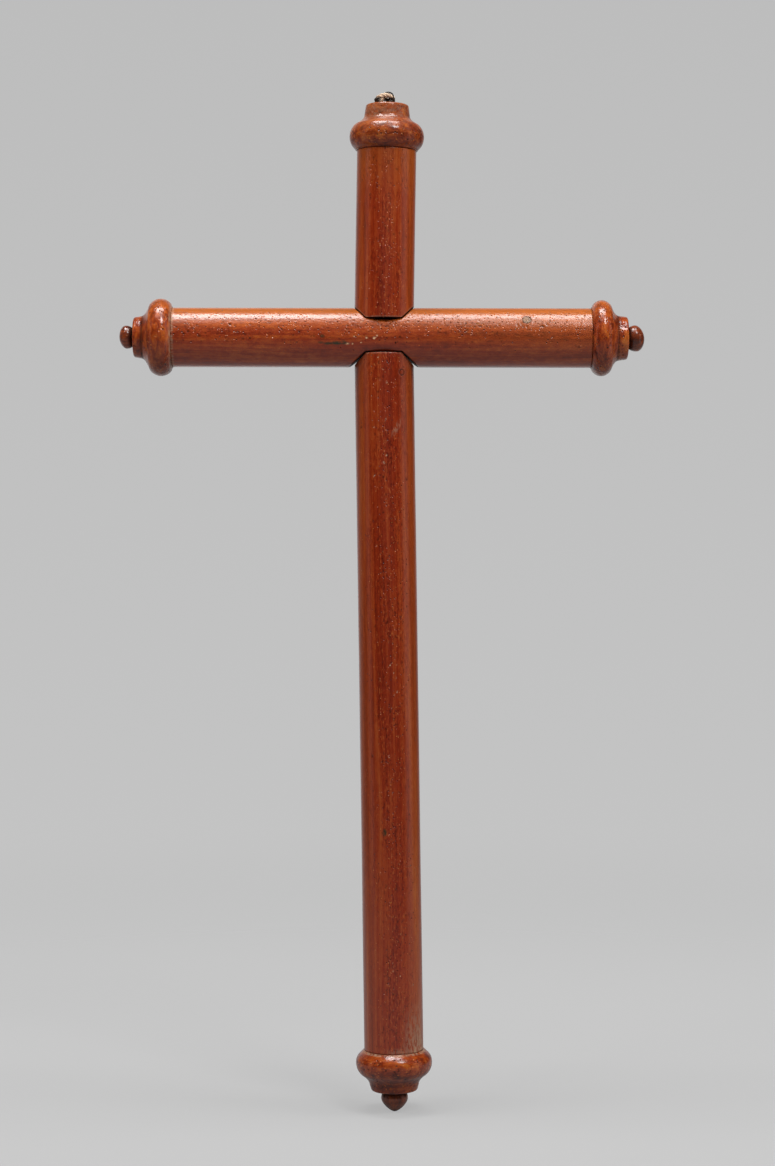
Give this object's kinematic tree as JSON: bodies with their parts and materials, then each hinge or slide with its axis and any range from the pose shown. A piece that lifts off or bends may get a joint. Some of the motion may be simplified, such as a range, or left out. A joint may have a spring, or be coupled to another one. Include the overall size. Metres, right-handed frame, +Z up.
{
  "type": "processional cross",
  "caption": "Round-bar turned wooden cross with notched crossing, bead-and-collar caps on every end and knob-headed pegs; one peg hole is stopped with a cord knot.",
  "frame": {"origin": "level with the tip of the bottom knob, halfway between the tips of the two arms, on the bars' middle plane", "axes": "+Z up along the uprights, +X along the right arm as seen from the front, -Y out of the front"},
  "size_m": [0.2617, 0.0386, 0.5101],
  "materials": {
    "crossbar_wood": "glossy red-brown varnish, worn",
    "upright_wood": "glossy red-brown varnish, fine lengthwise grain",
    "cap_wood": "glossy orange-brown varnish, mottled",
    "knob_wood": "dark red-brown varnish",
    "bare_wood": "bare, glued",
    "cord": "aged twisted fibre",
    "filler": "matt grey-beige plug"
  },
  "bodies": {
    "root": {"crossbar": "crossbar_wood", "upper_upright": "upright_wood", "lower_upright": "upright_wood", "centre_dowel": "bare_wood", "left_cap": "cap_wood", "right_cap": "cap_wood", "top_cap": "cap_wood", "bottom_cap": "cap_wood", "left_knob": "knob_wood", "right_knob": "knob_wood", "bottom_knob": "knob_wood", "top_cord_knot": "cord", "right_arm_plug": "filler"}
  },
  "joints": []
}
